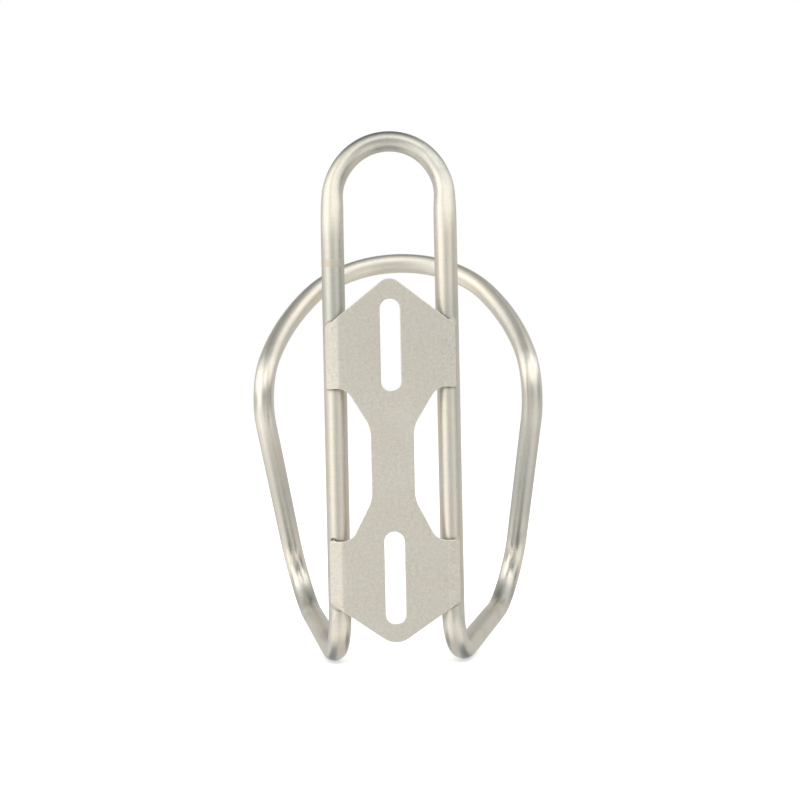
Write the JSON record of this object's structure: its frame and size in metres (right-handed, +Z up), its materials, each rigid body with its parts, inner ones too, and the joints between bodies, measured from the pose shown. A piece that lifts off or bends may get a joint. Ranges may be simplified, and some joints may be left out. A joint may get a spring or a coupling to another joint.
{
  "type": "water bottle cage",
  "caption": "Bent tube bottle cage with a slotted mounting plate, a leaning top tab and a ring that springs round the bottle.",
  "frame": {"origin": "middle of the two slots, on the plate's back face, which lies against the bicycle's frame", "axes": "+Y out of the plate towards the bottle, +Z up along the bottle towards the top tab, +X to the right as seen from the bicycle's side"},
  "size_m": [0.0886, 0.0852, 0.1505],
  "materials": {
    "tube_titanium": "satin bead blasted titanium tube, faintly brushed along its length",
    "plate_titanium": "matte bead blasted titanium sheet",
    "weld_titanium": "fine rippled titanium weld"
  },
  "bodies": {
    "root": {"mounting_plate": "plate_titanium", "tube_loop": "tube_titanium", "joint_weld": "weld_titanium", "joint_sleeve": "tube_titanium", "weld_upper_wing_top_left": "weld_titanium", "weld_upper_wing_bottom_left": "weld_titanium", "weld_lower_wing_top_left": "weld_titanium", "weld_lower_wing_bottom_left": "weld_titanium", "weld_upper_wing_top_right": "weld_titanium", "weld_upper_wing_bottom_right": "weld_titanium", "weld_lower_wing_top_right": "weld_titanium", "weld_lower_wing_bottom_right": "weld_titanium"}
  },
  "joints": []
}
